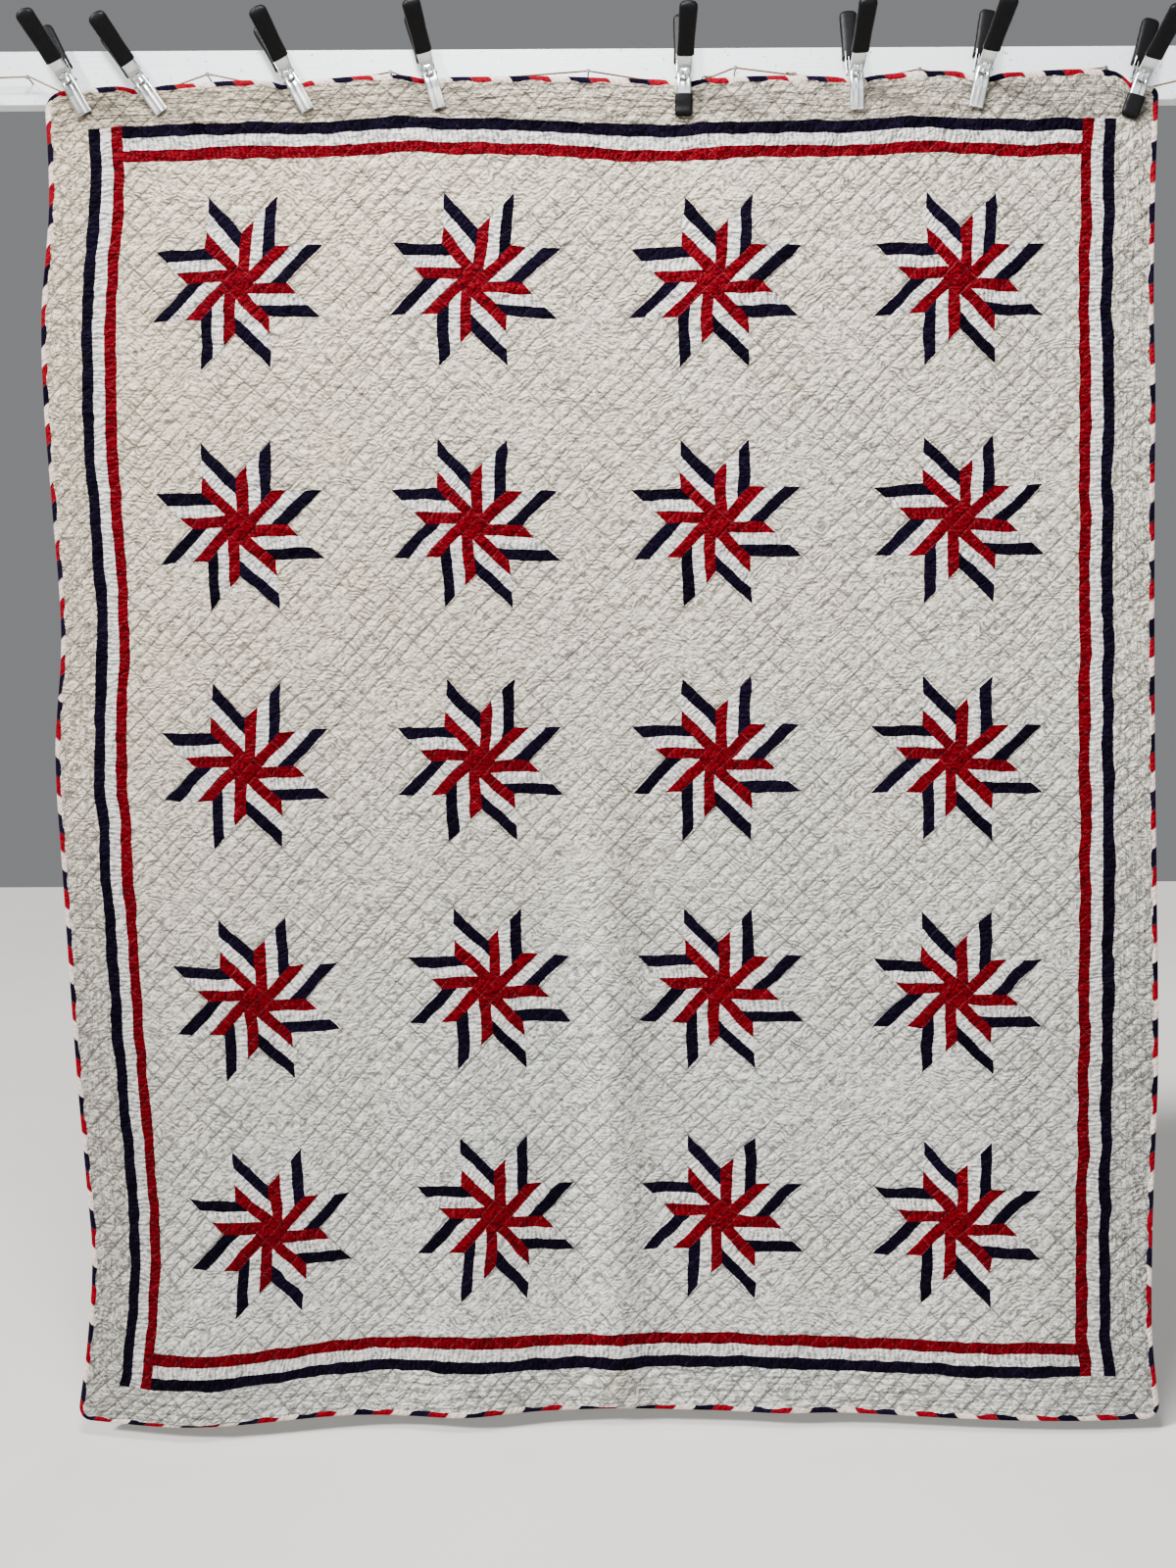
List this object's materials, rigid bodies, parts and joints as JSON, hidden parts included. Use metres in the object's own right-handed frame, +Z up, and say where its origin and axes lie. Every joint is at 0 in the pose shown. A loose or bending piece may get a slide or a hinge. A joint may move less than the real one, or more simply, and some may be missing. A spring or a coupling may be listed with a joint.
{
  "type": "star quilt with clamps and hanging rail",
  "caption": "Patchwork quilt with rows of eight-pointed stars and striped borders, clipped along its top edge to jute twine under a painted board.",
  "frame": {"origin": "middle of the board's back face, where it lies on the wall", "axes": "+X along the board to the viewer's right, +Y into the wall, +Z up; the quilt faces -Y"},
  "size_m": [2.1, 0.167, 2.333],
  "materials": {
    "quilted_cotton": "washed plain-weave cotton, hand quilted, matt",
    "binding_cotton": "bias binding pieced in red, white and navy cotton, matt",
    "zinc_plated_steel": "bright zinc plate, pressed",
    "spring_steel": "dull drawn wire",
    "black_vinyl": "dipped soft vinyl, slight sheen",
    "jute": "two-ply twine, hairy, matt",
    "nail_steel": "bright wire nails",
    "white_paint": "white satin paint on softwood"
  },
  "bodies": {
    "root": {"quilt": "quilted_cotton", "binding_top": "binding_cotton", "binding_right": "binding_cotton", "binding_bottom": "binding_cotton", "binding_left": "binding_cotton", "clamp_1_front_arm": "zinc_plated_steel", "clamp_1_front_grip": "black_vinyl", "clamp_1_rear_arm": "zinc_plated_steel", "clamp_1_rear_grip": "black_vinyl", "clamp_1_spring": "spring_steel", "clamp_2_front_arm": "zinc_plated_steel", "clamp_2_front_grip": "black_vinyl", "clamp_2_rear_arm": "zinc_plated_steel", "clamp_2_rear_grip": "black_vinyl", "clamp_2_spring": "spring_steel", "clamp_3_front_arm": "zinc_plated_steel", "clamp_3_front_grip": "black_vinyl", "clamp_3_rear_arm": "zinc_plated_steel", "clamp_3_rear_grip": "black_vinyl", "clamp_3_spring": "spring_steel", "clamp_4_front_arm": "zinc_plated_steel", "clamp_4_front_grip": "black_vinyl", "clamp_4_rear_arm": "zinc_plated_steel", "clamp_4_rear_grip": "black_vinyl", "clamp_4_spring": "spring_steel", "clamp_5_front_arm": "zinc_plated_steel", "clamp_5_front_grip": "black_vinyl", "clamp_5_front_cap": "black_vinyl", "clamp_5_rear_arm": "zinc_plated_steel", "clamp_5_rear_grip": "black_vinyl", "clamp_5_rear_cap": "black_vinyl", "clamp_5_spring": "spring_steel", "clamp_6_front_arm": "zinc_plated_steel", "clamp_6_front_grip": "black_vinyl", "clamp_6_rear_arm": "zinc_plated_steel", "clamp_6_rear_grip": "black_vinyl", "clamp_6_spring": "spring_steel", "clamp_7_front_arm": "zinc_plated_steel", "clamp_7_front_grip": "black_vinyl", "clamp_7_rear_arm": "zinc_plated_steel", "clamp_7_rear_grip": "black_vinyl", "clamp_7_spring": "spring_steel", "clamp_8_front_arm": "zinc_plated_steel", "clamp_8_front_grip": "black_vinyl", "clamp_8_front_cap": "black_vinyl", "clamp_8_rear_arm": "zinc_plated_steel", "clamp_8_rear_grip": "black_vinyl", "clamp_8_rear_cap": "black_vinyl", "clamp_8_spring": "spring_steel", "nail_1": "nail_steel", "nail_2": "nail_steel", "nail_3": "nail_steel", "nail_4": "nail_steel", "nail_5": "nail_steel", "nail_6": "nail_steel", "nail_7": "nail_steel", "nail_8": "nail_steel", "nail_9": "nail_steel", "twine": "jute", "rail": "white_paint"}
  },
  "joints": []
}
